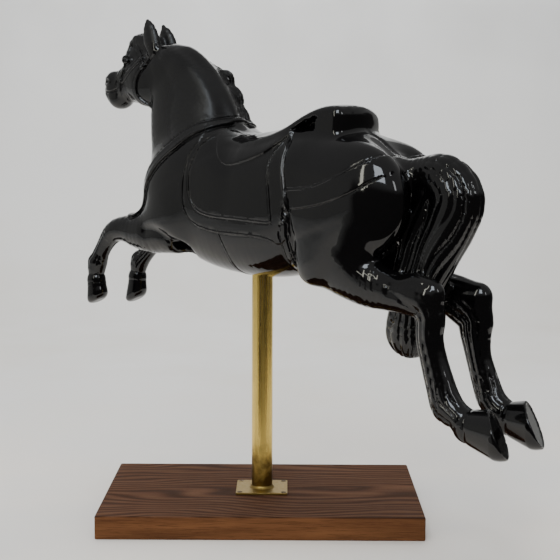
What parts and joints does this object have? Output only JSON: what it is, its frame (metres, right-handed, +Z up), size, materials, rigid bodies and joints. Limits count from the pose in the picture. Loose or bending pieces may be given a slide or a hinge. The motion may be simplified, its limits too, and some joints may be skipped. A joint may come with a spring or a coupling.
{
  "type": "carousel horse statue",
  "caption": "Leaping carousel horse in glossy black, with bridle, saddle and carved tail, standing on a brass pole with a square flange on an oak board",
  "frame": {"origin": "centre of the board's underside, on the pole's axis", "axes": "+Z up; +X along the board's long side; +Y along its short side; the horse's nose points 142 degrees round from +X, towards -X and +Y"},
  "size_m": [0.6836, 0.5788, 0.7553],
  "materials": {
    "horse": "high gloss black glaze",
    "pole": "polished, tarnished at the foot",
    "flange_plate": "satin, tarnished",
    "base_board": "dark stained oak, satin",
    "screw_1": "dark tarnished",
    "screw_2": "dark tarnished",
    "screw_3": "dark tarnished",
    "screw_4": "dark tarnished"
  },
  "bodies": {
    "root": {"horse": "horse", "pole": "pole", "flange_plate": "flange_plate", "base_board": "base_board", "screw_1": "screw_1", "screw_2": "screw_2", "screw_3": "screw_3", "screw_4": "screw_4"}
  },
  "joints": []
}
